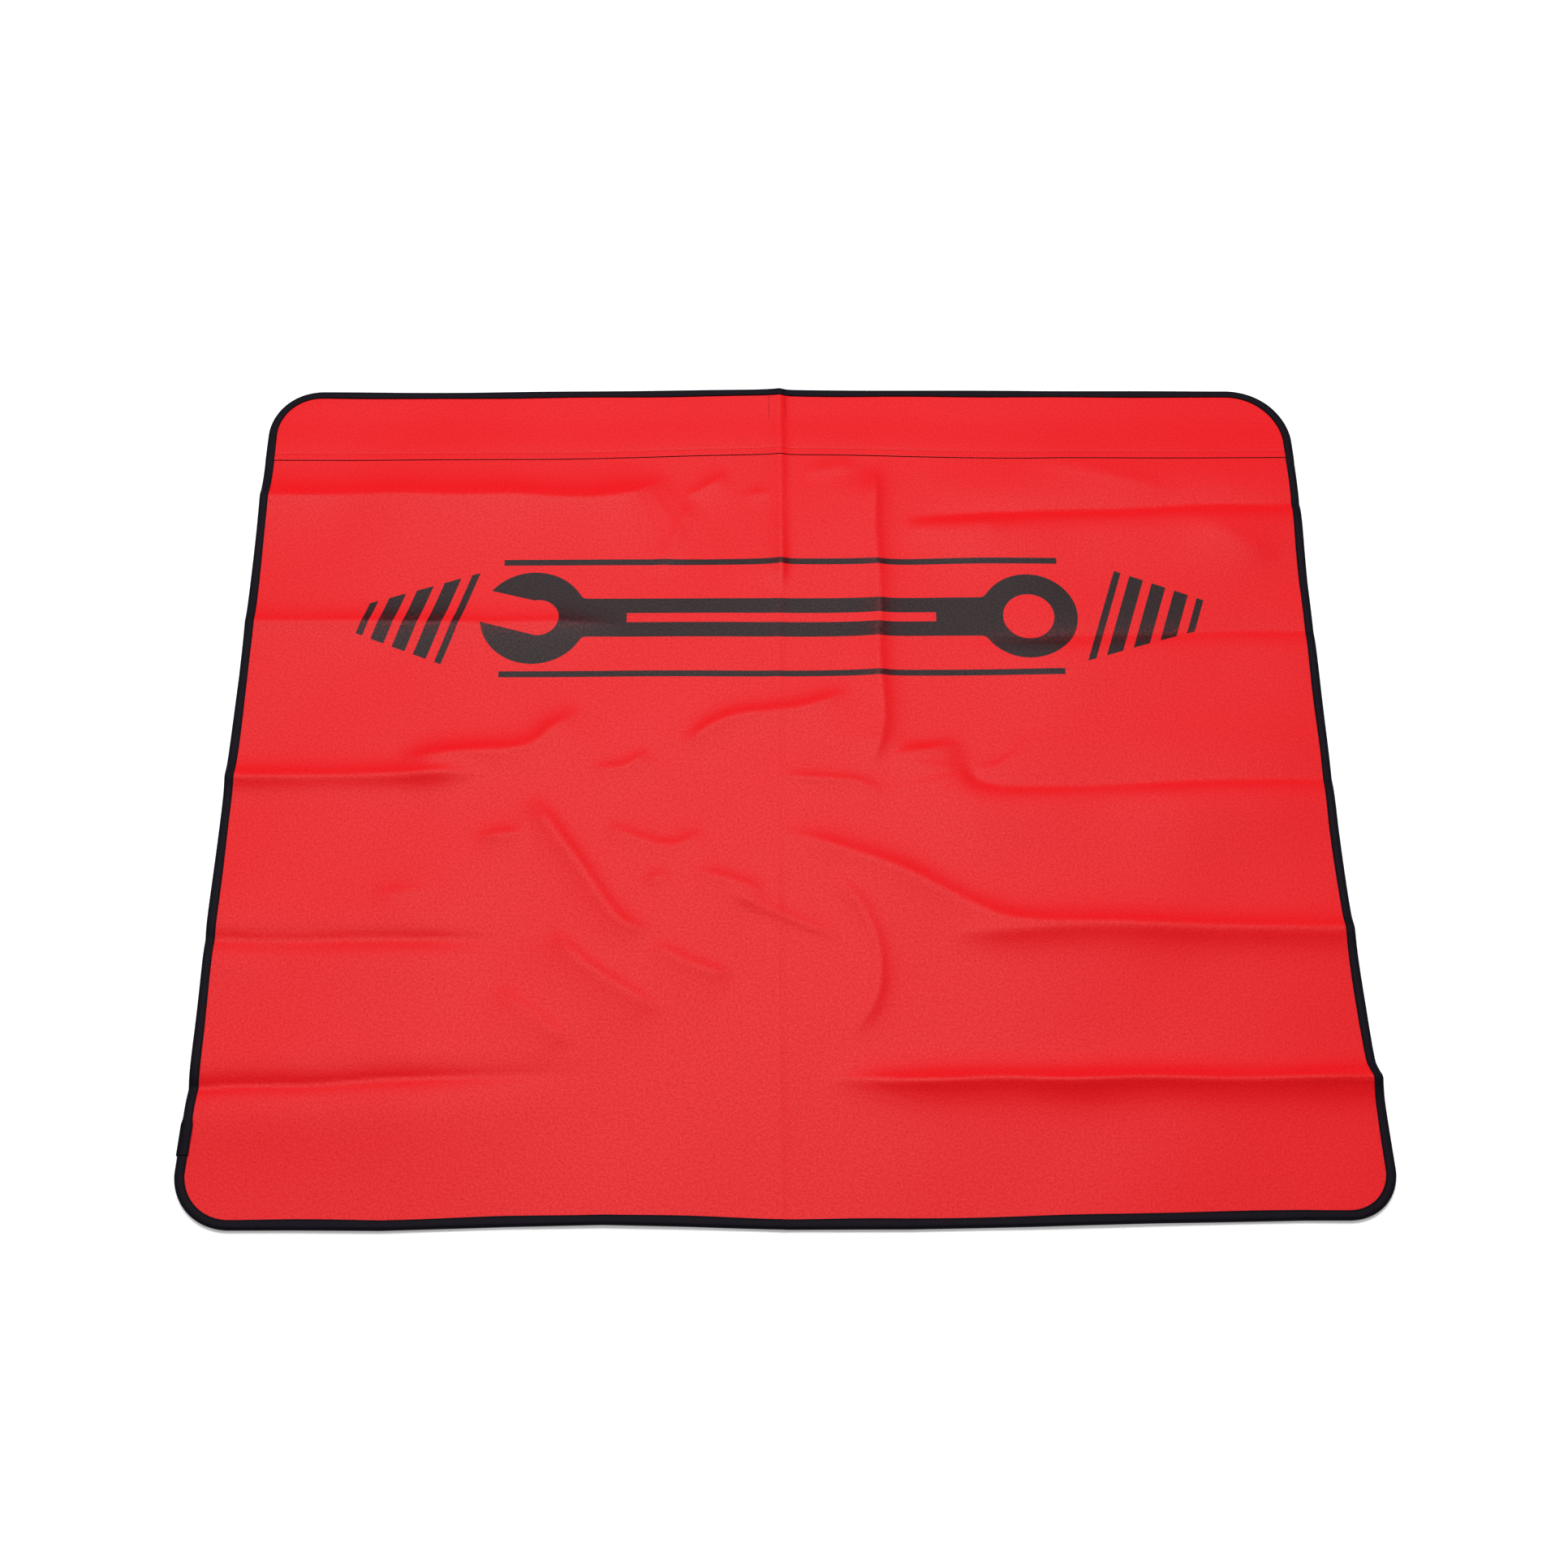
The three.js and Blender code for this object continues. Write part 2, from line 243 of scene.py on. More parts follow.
def drift(x, y):
    """How far each flat place has been pulled sideways. A pull builds up from well inside the cover."""
    top = smooth((y - 150 * MM) / (220 * MM)) * np.exp(-((x / MIDDLE_REACH) ** 2))
    header = smooth((y - 360 * MM) / (60 * MM)) * smooth(np.abs(x) / (250 * MM))
    bottom = smooth((-y - 250 * MM) / (150 * MM))
    side = smooth((np.abs(x) - 300 * MM) / (180 * MM))
    dx = side * np.where(x > 0, pull_at(y, SIDE_PULLS[1]), -pull_at(y, SIDE_PULLS[-1]))
    dy = top * MIDDLE_PULL + header * HEADER_PULL + bottom * pull_at(x, BOTTOM_PULLS)
    return dx, dy


def lay(piece):
    """Writes each vertex's flat place to the piece's UV map, then lays the piece over the creases."""
    mesh = piece.data
    co = np.zeros(len(mesh.vertices) * 3)
    mesh.vertices.foreach_get("co", co)
    co = co.reshape(-1, 3)
    layer = mesh.uv_layers.new(name="flat")
    mesh.uv_layers.active = layer
    corner_vertex = np.zeros(len(mesh.loops), int)
    mesh.loops.foreach_get("vertex_index", corner_vertex)
    layer.data.foreach_set("uv", co[corner_vertex, :2].ravel())
    lift, worn = relief(co[:, 0], co[:, 1])
    dx, dy = drift(co[:, 0], co[:, 1])
    mesh.attributes.new("worn", "FLOAT", "POINT").data.foreach_set("value", worn.astype(np.float32))
    co += np.stack([dx, dy, lift], 1)
    mesh.vertices.foreach_set("co", co.ravel())
    mesh.update()


def lines(low, high, step, closer=()):
    """Places from low to high, a step apart, or nearer where closer says (middle, reach, step)."""
    found = [low]
    while found[-1] < high:
        steps = [fine for middle, reach, fine in closer if abs(found[-1] - middle) < reach]
        found.append(found[-1] + min(steps + [step]))
    # A last gap that would be much shorter than a step is made one with the gap before it.
    if high - found[-2] < 0.4 * (found[-1] - found[-2]):
        found.pop()
    found[-1] = high
    return np.array(found)


def flat_grid(name, columns, rows, z):
    """A grid primitive whose lines stand at the given columns and rows."""
    bpy.ops.mesh.primitive_grid_add(
        x_subdivisions=len(columns) - 1, y_subdivisions=len(rows) - 1, size=1, calc_uvs=False
    )
    piece = bpy.context.object
    piece.name = piece.data.name = name
    for v in piece.data.vertices:
        column = round((v.co.x + 0.5) * (len(columns) - 1))
        row = round((v.co.y + 0.5) * (len(rows) - 1))
        v.co = (columns[column], rows[row], z)
    return piece


def round_corners(piece, inset, ends):
    """Draws the grid's corners in to the rim's, at the ends of the cover that the piece reaches."""
    for side, end, radius in CORNERS:
        r = radius - inset
        cx, cy = HALF_WIDTH - inset - r, HALF_LENGTH - inset - r
        for v in piece.data.vertices:
            u, w = (side * v.co.x - cx) / r, (end * v.co.y - cy) / r
            if end in ends and u > 0 and w > 0:
                draw = max(u, w) / math.hypot(u, w)
                v.co.x, v.co.y = side * (cx + u * draw * r), end * (cy + w * draw * r)


def inside_rim(x, y):
    """How far a flat place is in from the cover's outer edge."""
    for side, end, radius in CORNERS:
        u, w = side * x - HALF_WIDTH + radius, end * y - HALF_LENGTH + radius
        if u > 0 and w > 0:
            return radius - math.hypot(u, w)
    return min(HALF_WIDTH - abs(x), HALF_LENGTH - abs(y))


def finish_with(piece, kind, **settings):
    """Adds a modifier to the piece and applies it."""
    modifier = piece.modifiers.new(kind.title(), kind)
    for key, value in settings.items():
        setattr(modifier, key, value)
    bpy.context.view_layer.objects.active = piece
    bpy.ops.object.modifier_apply(modifier=modifier.name)


def thicken(piece, thickness):
    """Gives a sheet its wall, under the surface that it was drawn on."""
    finish_with(piece, "SOLIDIFY", thickness=thickness, offset=-1)


def smooth_shade(piece, degrees=40):
    bpy.ops.object.select_all(action="DESELECT")
    piece.select_set(True)
    bpy.context.view_layer.objects.active = piece
    bpy.ops.object.shade_smooth_by_angle(angle=math.radians(degrees))
    bpy.ops.object.select_all(action="DESELECT")


def cross_fold(piece, layer):
    """Bakes a full-width piece's placing into its mesh, and lets it stand for both halves of its layer,
    which it hides.
    """
    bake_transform(piece)
    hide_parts(f"{layer}_right", f"{layer}_left")


def socket(tree, value, target):
    """Links a node's output to target, or writes a constant on it."""
    if isinstance(value, bpy.types.NodeSocket):
        tree.links.new(value, target)
    else:
        target.default_value = value


def node(tree, kind, inputs=None, **settings):
    new = tree.nodes.new("ShaderNode" + kind)
    for key, value in settings.items():
        setattr(new, key, value)
    for key, value in (inputs or {}).items():
        socket(tree, value, new.inputs[key])
    return new


def maths(tree, operation, *values, clamp=False):
    return node(tree, "Math", dict(enumerate(values)), operation=operation, use_clamp=clamp).outputs[0]


def mixed(tree, factor, a, b):
    """The colour between a and b."""
    new = node(tree, "Mix", data_type="RGBA")
    socket(tree, factor, new.inputs[0])
    socket(tree, a, new.inputs[6])
    socket(tree, b, new.inputs[7])
    return new.outputs[2]


def noise(tree, place, scale, detail=2.0, roughness=0.5):
    inputs = {"Vector": place, "Scale": scale, "Detail": detail, "Roughness": roughness}
    return node(tree, "TexNoise", inputs).outputs[0]


def material(name, shade_roughness=0.5, uv="flat"):
    """A new material, its node tree, its shader, and its place on the flat cloth, in metres."""
    new = bpy.data.materials.new(name)
    new.use_nodes = True
    shader = new.node_tree.nodes["Principled BSDF"]
    shader.inputs["Roughness"].default_value = shade_roughness
    return new, new.node_tree, shader, node(new.node_tree, "UVMap", uv_map=uv).outputs[0]


def paint(tree, shader, colour, height):
    """Gives a shader its colour, and its relief in metres."""
    socket(tree, colour, shader.inputs["Base Color"])
    bump = node(tree, "Bump", {"Height": height, "Distance": 1.0, "Strength": 1.0})
    tree.links.new(bump.outputs[0], shader.inputs["Normal"])


# Where the layers' grids are closer: along the creases that run right across, and at the pressed rim.
fold_columns = [(0, 13 * MM, 2.4 * MM), (92 * MM, 14 * MM, 2.8 * MM)]
crease_rows = [(y * MM, 15 * MM, 2.8 * MM) for y in (308, 282, 152, -16, -160, -300)]
rim_columns = [(side * LINING_HIGH.x, 13 * MM, 2.5 * MM) for side in (-1, 1)]
rim_rows = [(end, 13 * MM, 2.5 * MM) for end in (LINING_LOW.y, LINING_HIGH.y)]
backing_lining = flat_grid(
    "backing_lining",
    lines(-LINING_HIGH.x, LINING_HIGH.x, 7 * MM, rim_columns + fold_columns),
    lines(LINING_LOW.y, LINING_HIGH.y, 6 * MM, rim_rows + crease_rows),
    LINING_HIGH.z,
)
round_corners(backing_lining, RIM_INSET, ends=[-1, 1])
thicken(backing_lining, LINING_HIGH.z - LINING_LOW.z)
for v in backing_lining.data.vertices:
    if v.co.z < LINING_LOW.z + 0.1 * MM:
        past_tape = inside_rim(v.co.x, v.co.y) - BINDING_REACH + PRESSING_RUN / 2
        v.co.z += PRESSED_AWAY * (1 - smooth(past_tape / PRESSING_RUN))
lay(backing_lining)
smooth_shade(backing_lining)

# The fleece is painted darker where its pile lies low and paler on its raised tufts: painted shade and
# painted light in the pile.
FLEECE_SHADED_DEEP, FLEECE_LIT_TIP = (0.014, 0.015, 0.017, 1), (0.052, 0.054, 0.060, 1)
TUFT_HEIGHT = 0.6 * MM
fleece, tree, shader, place = material("brushed_fleece", 0.95)
tufts = noise(tree, place, 700.0, 5.0, 0.7)
brushed = noise(tree, place, 26.0)
raised = maths(tree, "MULTIPLY_ADD", tufts, 1.8, -0.65)
tone = maths(tree, "MULTIPLY_ADD", brushed, 0.35, raised, clamp=True)
fleece_colour = mixed(tree, tone, FLEECE_SHADED_DEEP, FLEECE_LIT_TIP)
paint(tree, shader, fleece_colour, maths(tree, "MULTIPLY", tufts, TUFT_HEIGHT))
shader.inputs["Sheen Weight"].default_value = 0.35
shader.inputs["Sheen Roughness"].default_value = 0.4
backing_lining.data.materials.append(fleece)
cross_fold(backing_lining, "backing_lining")

# ---- Foam padding --------------------------------------------------------------------------------------
# A 1.2 mm sheet of cream open-cell foam between the lining and the face. It is cut short of the binding
# all round, and ends below the header's stitches, so that nothing but the magnets is in the header.

FOAM_LOW, FOAM_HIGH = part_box("foam_padding_right")
# The foam and the face share their grid's lines, which are closer in the wrinkled middle too.
middle_columns = [(-30 * MM, 235 * MM, 3.9 * MM)]
middle_rows = [(-95 * MM, 180 * MM, 3.7 * MM)]
foam_padding = flat_grid(
    "foam_padding",
    lines(-FOAM_HIGH.x, FOAM_HIGH.x, 7.5 * MM, fold_columns + middle_columns),
    lines(FOAM_LOW.y, FOAM_HIGH.y, 6 * MM, crease_rows + middle_rows),
    FOAM_HIGH.z,
)
round_corners(foam_padding, BINDING_REACH, ends=[-1])
thicken(foam_padding, FOAM_HIGH.z - FOAM_LOW.z)
lay(foam_padding)
smooth_shade(foam_padding)

CELLS_PER_METRE = 1400.0
CELL_DEPTH = 0.3 * MM
# The foam is painted darker where its cells sink in, by the same mask that sets their depth: painted
# shade in the hollows.
FOAM_LIT_WALLS, FOAM_SHADED_CELLS = (0.72, 0.70, 0.62, 1), (0.42, 0.40, 0.34, 1)
foam, tree, shader, place = material("open_cell_foam", 0.9)
cells = node(tree, "TexVoronoi", {"Vector": place, "Scale": CELLS_PER_METRE}).outputs["Distance"]
foam_colour = mixed(tree, cells, FOAM_LIT_WALLS, FOAM_SHADED_CELLS)
paint(tree, shader, foam_colour, maths(tree, "MULTIPLY", cells, -CELL_DEPTH))
foam_padding.data.materials.append(foam)
cross_fold(foam_padding, "foam_padding")

# ---- Face skin -----------------------------------------------------------------------------------------
# The red face: polyurethane leatherette on a knitted base, 0.8 mm thick, with a fine grain pressed into
# it and a charcoal figure printed on it. Its rim is held in the edge binding, and its top edge runs under
# the header band.

SKIN_LOW, SKIN_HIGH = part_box("face_skin_right")
SKIN_WALL = SKIN_HIGH.z - SKIN_LOW.z
face_skin = flat_grid(
    "face_skin",
    lines(-SKIN_HIGH.x, SKIN_HIGH.x, 7.5 * MM, fold_columns + middle_columns),
    lines(SKIN_LOW.y, SKIN_HIGH.y, 6 * MM, crease_rows + middle_rows),
    SKIN_HIGH.z,
)
round_corners(face_skin, RIM_INSET, ends=[-1])
thicken(face_skin, SKIN_WALL)
lay(face_skin)
smooth_shade(face_skin)


def node_group(name, inputs, output):
    """A shader node group with named inputs {name: kind}, and one named output."""
    tree = bpy.data.node_groups.new(name, "ShaderNodeTree")
    for key, kind in inputs.items():
        tree.interface.new_socket(key, in_out="INPUT", socket_type="NodeSocket" + kind)
    tree.interface.new_socket(output, in_out="OUTPUT", socket_type="NodeSocketFloat")
    group_in, group_out = tree.nodes.new("NodeGroupInput"), tree.nodes.new("NodeGroupOutput")
    return tree, group_in.outputs, group_out.inputs[output]


def use_group(tree, group, inputs):
    new = node(tree, "Group")
    new.node_tree = group
    for key, value in inputs.items():
        socket(tree, value, new.inputs[key])
    return new.outputs[0]


# Pressed leather grain: rounded pebbles with a bent outline, finer pores on them, and wider low lumps.
# Each noise's scale is its features to the metre.
PEBBLES_PER_METRE = 800.0
OUTLINE_BEND = 1.1 * MM
grain, grain_in, grain_out = node_group(
    "Pressed grain", {"Place": "Vector", "Pebbles per metre": "Float"}, "Height"
)
swirl = node(grain, "TexNoise", {"Vector": grain_in["Place"], "Scale": 420.0, "Detail": 1.0})
bend = node(
    grain, "VectorMath", {0: swirl.outputs["Color"], 1: [OUTLINE_BEND] * 3}, operation="MULTIPLY"
).outputs[0]
bent = node(grain, "VectorMath", {0: grain_in["Place"], 1: bend}, operation="ADD").outputs[0]
pebble = node(grain, "TexVoronoi", {"Vector": bent, "Scale": grain_in["Pebbles per metre"]})
pores = noise(grain, grain_in["Place"], 2600.0)
lumps = maths(grain, "SUBTRACT", noise(grain, grain_in["Place"], 430.0), 0.5)
pebble_height = maths(grain, "SUBTRACT", 1.0, pebble.outputs["Distance"])
pebbled = maths(grain, "MULTIPLY_ADD", pores, 0.35, pebble_height)
grain.links.new(maths(grain, "MULTIPLY_ADD", lumps, 1.5, pebbled), grain_out)

# The printed figure: a plain double-ended spanner between two thin rules, with slanted bars at both ends.
# Halves and radii are measured from the figure's middle lines. The mask is 1 in the ink and 0 outside it.
FIGURE_MIDDLE = (2 * MM, 163 * MM)
HEAD_X, JAW_HEAD, RING_HEAD, RING_HOLE = 232 * MM, 50 * MM, 46 * MM, 24 * MM
JAW_MOUTH, JAW_DEPTH, JAW_FLOOR, JAW_HALF, JAW_TILT = 28 * MM, 4 * MM, 19.5 * MM, 19 * MM, 0.27
SHANK_HALF, GROOVE_RUN, GROOVE_HALF, NECK_ROUNDING = 21 * MM, 145 * MM, 5 * MM, 6 * MM
RULE_RUN, RULE_Y, RULE_HALF = 262 * MM, 61 * MM, 3.2 * MM
BARS_FROM, BARS, BAR_PITCH, GAP_HALF = 300 * MM, 4, 23 * MM, 7 * MM
BAR_SLANT, BAR_TALL, BAR_TAPER = 0.32, 50 * MM, 0.36
PRINT_EDGE = 0.35 * MM
figure, figure_in, figure_out = node_group("Printed figure", {"Place": "Vector"}, "Ink")
figure_xy = node(figure, "SeparateXYZ", {0: figure_in["Place"]}).outputs
fx = maths(figure, "SUBTRACT", figure_xy[0], FIGURE_MIDDLE[0])
fy = maths(figure, "SUBTRACT", figure_xy[1], FIGURE_MIDDLE[1])
side_y = maths(figure, "ABSOLUTE", fy)


def disc(x, radius):
    """Distance outside a disc on the figure's long middle line."""
    beside = maths(figure, "SUBTRACT", fx, x)
    square = maths(figure, "MULTIPLY_ADD", beside, beside, maths(figure, "MULTIPLY", fy, fy))
    return maths(figure, "SUBTRACT", maths(figure, "SQRT", square), radius)


def bar(x, half_width, y, half_height):
    """Distance outside an upright bar."""
    beyond_x = maths(figure, "SUBTRACT", maths(figure, "ABSOLUTE", x), half_width)
    beyond_y = maths(figure, "SUBTRACT", maths(figure, "ABSOLUTE", y), half_height)
    return maths(figure, "MAXIMUM", beyond_x, beyond_y)


def without(shape, *holes):
    for hole in holes:
        shape = maths(figure, "MAXIMUM", shape, maths(figure, "MULTIPLY", hole, -1.0))
    return shape


def joined(shape, *others):
    for other in others:
        shape = maths(figure, "SMOOTH_MIN", shape, other, NECK_ROUNDING)
    return shape


# The open jaw is cut in from the head's far side, a little tilted, and ends in a round floor.
jaw_y = maths(figure, "MULTIPLY_ADD", fx, JAW_TILT, maths(figure, "ADD", fy, JAW_TILT * HEAD_X))
jaw_x = maths(figure, "ADD", fx, HEAD_X + JAW_MOUTH)
jaw = bar(jaw_x, JAW_MOUTH + JAW_DEPTH, jaw_y, JAW_HALF)
spanner = joined(bar(fx, HEAD_X, fy, SHANK_HALF), disc(-HEAD_X, JAW_HEAD), disc(HEAD_X, RING_HEAD))
spanner = without(spanner, jaw, disc(JAW_DEPTH - HEAD_X, JAW_FLOOR), disc(HEAD_X, RING_HOLE))
spanner = without(spanner, bar(fx, GROOVE_RUN, fy, GROOVE_HALF))
rules = bar(fx, RULE_RUN, maths(figure, "SUBTRACT", side_y, RULE_Y), RULE_HALF)

# The bars lean over, and get shorter outwards.
half_row = BARS * BAR_PITCH / 2
slant_x = maths(figure, "ABSOLUTE", maths(figure, "MULTIPLY_ADD", fy, -BAR_SLANT, fx))
bar_run = maths(figure, "SUBTRACT", slant_x, BARS_FROM)
beside_gap = maths(figure, "SUBTRACT", maths(figure, "PINGPONG", bar_run, BAR_PITCH / 2), GAP_HALF)
bar_half = maths(figure, "MULTIPLY_ADD", bar_run, -BAR_TAPER, BAR_TALL)
bar_row = bar(maths(figure, "SUBTRACT", bar_run, half_row), half_row, fy, bar_half)
bars = maths(figure, "MAXIMUM", beside_gap, bar_row)
printed = maths(figure, "MINIMUM", spanner, maths(figure, "MINIMUM", rules, bars))
figure.links.new(maths(figure, "MULTIPLY_ADD", printed, -1 / PRINT_EDGE, 0.5, clamp=True), figure_out)

RED = (0.762, 0.0035, 0.0070)
GLINT_SPECK_RED, CRAZED_RED = (0.79, 0.0095, 0.0145, 1), (0.84, 0.05, 0.05, 1)
INK, INK_SHADED_IN_PITS = (0.018, 0.005, 0.007, 1), (0.010, 0.002, 0.003, 1)
PEBBLE_HEIGHT = 0.06 * MM
CRUMPLE_HEIGHT, WORN_CRUMPLE = 0.06 * MM, 0.35 * MM


def shade(colour, amount):
    """A darker or lighter tone of a colour, made opaque."""
    return [min(1, c * amount) for c in colour] + [1]


def leatherette(name, with_print):
    """Red coated cloth with a pressed grain, a little paler and finely crazed along its creases. Its
    grain's pits carry painted shade, and its pale specks are painted glints of its sheen.
    """
    made, tree, shader, place = material(name)
    worn = node(tree, "Attribute", attribute_name="worn").outputs["Fac"]
    pressed = use_group(tree, grain, {"Place": place, "Pebbles per metre": PEBBLES_PER_METRE})
    clouds = maths(tree, "MULTIPLY_ADD", noise(tree, place, 9.0, 3.0), 0.6, 0.2, clamp=True)
    # Where the grain lies low, the red and the ink are painted darker: painted shade in the grain's pits.
    pit_shade = maths(tree, "MULTIPLY_ADD", pressed, -0.9, 0.95, clamp=True)
    colour = mixed(tree, clouds, shade(RED, 0.95), shade(RED, 1.04))
    colour = mixed(tree, maths(tree, "MULTIPLY", pit_shade, 0.55), colour, shade(RED, 0.7))
    # Pale specks are painted glints of the grain's sheen. The same specks also make the cloth a little
    # glossier there.
    glint_specks = maths(tree, "MULTIPLY_ADD", noise(tree, place, 480.0, 1.0), 3.0, -1.0, clamp=True)
    colour = mixed(tree, maths(tree, "MULTIPLY", glint_specks, 0.7), colour, GLINT_SPECK_RED)
    crazing = maths(tree, "MULTIPLY_ADD", noise(tree, place, 240.0, 4.0, 0.65), 2.4, -0.85, clamp=True)
    crazed = maths(tree, "MULTIPLY", worn, crazing)
    colour = mixed(tree, maths(tree, "MULTIPLY", crazed, 0.15), colour, CRAZED_RED)
    roughness = maths(tree, "MULTIPLY_ADD", pressed, -0.08, 0.535)
    roughness = maths(tree, "MULTIPLY_ADD", glint_specks, -0.07, roughness)
    if with_print:
        patchy = maths(tree, "MULTIPLY_ADD", crazed, -0.3, 1.0)
        ink = maths(tree, "MULTIPLY", use_group(tree, figure, {"Place": place}), patchy)
        colour = mixed(tree, ink, colour, mixed(tree, pit_shade, INK, INK_SHADED_IN_PITS))
        roughness = maths(tree, "MULTIPLY_ADD", ink, -0.015, roughness)
    crumple_height = maths(tree, "MULTIPLY_ADD", worn, WORN_CRUMPLE, CRUMPLE_HEIGHT)
    crumple = maths(tree, "MULTIPLY", noise(tree, place, 95.0), crumple_height)
    paint(tree, shader, colour, maths(tree, "MULTIPLY_ADD", pressed, PEBBLE_HEIGHT, crumple))
    socket(tree, roughness, shader.inputs["Roughness"])
    shader.inputs["Specular IOR Level"].default_value = 0.11
    return made


face_skin.data.materials.append(leatherette("printed_leatherette", with_print=True))
cross_fold(face_skin, "face_skin")

# ---- Magnet strips -------------------------------------------------------------------------------------
# Flat strips of rubber-bonded ferrite, cut from a roll with a knife, which gives them square edges and a
# faintly ribbed skin. Three lie side by side in each pocket of the header.

MAGNET_DARK, MAGNET_PALE = (0.022, 0.019, 0.017, 1), (0.055, 0.050, 0.046, 1)
RIB_HEIGHT = 0.04 * MM
magnet_rubber, tree, shader, place = material("magnet_rubber", 0.7)
ribs = node(
    tree, "TexWave", {"Vector": place, "Scale": 160.0, "Distortion": 0.4}, bands_direction="Y"
).outputs["Fac"]
magnet_colour = mixed(tree, noise(tree, place, 60.0, 4.0), MAGNET_DARK, MAGNET_PALE)
paint(tree, shader, magnet_colour, maths(tree, "MULTIPLY", ribs, RIB_HEIGHT))
for half in ("right", "left"):
    for number in (1, 2, 3):
        low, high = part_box(f"magnet_strip_{half}_{number}")
        strip = flat_grid(
            f"magnet_{half}_{number}", lines(low.x, high.x, 8 * MM), lines(low.y, high.y, 8 * MM), high.z
        )
        thicken(strip, high.z - low.z)
        finish_with(strip, "BEVEL", width=0.15 * MM, segments=2, limit_method="ANGLE")
        lay(strip)
        smooth_shade(strip)
        strip.data.materials.append(magnet_rubber)
        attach(strip, f"{half}_half")
        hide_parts(f"magnet_strip_{half}_{number}")

# ---- Header band ---------------------------------------------------------------------------------------
# A strip of the same leatherette, without print. Its top edge is held in the binding. Its lower edge
# climbs over the top of the face and is sewn down through it, which closes the two pockets for magnets.

BAND_LOW, BAND_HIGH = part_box("header_band_right")
LAP_END = SKIN_HIGH.y
LAP_HEIGHT = BAND_HIGH.z - SKIN_HIGH.z
LAP_RUN = 40 * MM
SEWN_DEPTH, SEWN_WIDTH = 0.16 * MM, 1.1 * MM
FREE_LIFT, FREE_RUN = 0.10 * MM, 3 * MM
thread_low, thread_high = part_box("header_needle_thread_right")
STITCH_ROW_Y = (thread_low.y + thread_high.y) / 2
header_band = flat_grid(
    "header_band",
    lines(-SKIN_HIGH.x, SKIN_HIGH.x, 4 * MM, fold_columns),
    lines(BAND_LOW.y, BAND_HIGH.y, 5 * MM, [(BAND_LOW.y + 10 * MM, 13 * MM, 1.3 * MM)]),
    SKIN_HIGH.z,
)
for v in header_band.data.vertices:
    climb = 1 - smooth((v.co.y - LAP_END) / LAP_RUN)
    sewn_in = SEWN_DEPTH * math.exp(-(((v.co.y - STITCH_ROW_Y) / SEWN_WIDTH) ** 2))
    lifted = FREE_LIFT * (1 - smooth((v.co.y - BAND_LOW.y) / FREE_RUN))
    v.co.z += LAP_HEIGHT * climb - sewn_in + lifted
round_corners(header_band, RIM_INSET, ends=[1])
thicken(header_band, SKIN_WALL)
finish_with(
    header_band, "BEVEL", width=0.25 * MM, segments=2, limit_method="ANGLE", angle_limit=math.radians(60)
)

# The cut lower edge shows the knitted base, dyed a dull red. Its dark tone is also painted shade,
# standing in for the shadow line under the lap's free edge, and the knit is painted darker where it lies
# low.
KNIT_SHADED_DARK, KNIT_LIT_PALE = (0.020, 0.002, 0.003, 1), (0.075, 0.005, 0.007, 1)
KNIT_HEIGHT = 0.2 * MM
shaded_raw_edge, tree, shader, place = material("shaded_raw_edge", 0.9)
knit = noise(tree, place, 1500.0, 3.0)
paint(tree, shader, mixed(tree, knit, KNIT_SHADED_DARK, KNIT_LIT_PALE), maths(tree, "MULTIPLY", knit, KNIT_HEIGHT))
shader.inputs["Specular IOR Level"].default_value = 0.1
header_band.data.materials.append(leatherette("plain_leatherette", with_print=False))
header_band.data.materials.append(shaded_raw_edge)
for polygon in header_band.data.polygons:
    at_free_edge = polygon.center.y < BAND_LOW.y + 0.3 * MM
    polygon.material_index = int(at_free_edge and polygon.normal.z < 0.9)
lay(header_band)
smooth_shade(header_band)
cross_fold(header_band, "header_band")

# ---- Header and pocket stitches ------------------------------------------------------------------------
# Red polyester lockstitch: one row across the header along the band's free edge, and one up each side of
# the middle fold, where a magnet pocket ends. The needle thread lies on the face and the bobbin thread on
# the back. Each stitch dips into the cloth at both ends, where the two threads lock.

THREAD = 0.5 * MM
STITCH = 3.2 * MM
# A stitch shows for this share of its length, lies this much wider than it is high, and dips this deep.
STITCH_SHOWS, THREAD_SPREAD, STITCH_DIP = 0.92, 1.05, 0.55 * THREAD
# The header's needle thread is pulled into the band, and the pockets' lies proud of the face.
HEADER_SUNK, POCKET_PROUD, BOBBIN_LEVEL = 0.20 * MM, 0.12 * MM, 0.55 * MM


def stitch_row(name, count, pitch, face):
    """A straight row of stitches along X, made from one. face is 1 to face up, and -1 to face down."""
    bpy.ops.mesh.primitive_uv_sphere_add(segments=6, ring_count=5, radius=0.5, calc_uvs=False)
    row = bpy.context.object
    row.name = row.data.name = name
    for v in row.data.vertices:
        along, aside, up = v.co.z, v.co.y, v.co.x
        dip = STITCH_DIP * (2 * along) ** 2
        v.co = (along * pitch * STITCH_SHOWS, aside * THREAD * THREAD_SPREAD, face * (up * THREAD - dip))
    if face > 0:
        row.data.flip_normals()
    finish_with(
        row, "ARRAY", count=count, use_relative_offset=False, use_constant_offset=True,
        constant_offset_displace=(pitch, 0, 0),
    )
    for v in row.data.vertices:
        v.co.x += pitch / 2
    return row


FIBRE_HEIGHT = 0.08 * MM


def thread(name, dark, pale):
    """A spun thread's material, with fibres between two tones, painted darker where they lie low: painted
    shade between the fibres.
    """
    made, tree, shader, place = material(name, 0.6)
    fibres = noise(tree, place, 1800.0)
    paint(tree, shader, mixed(tree, fibres, dark, pale), maths(tree, "MULTIPLY", fibres, FIBRE_HEIGHT))
    shader.inputs["Specular IOR Level"].default_value = 0.15
    return made


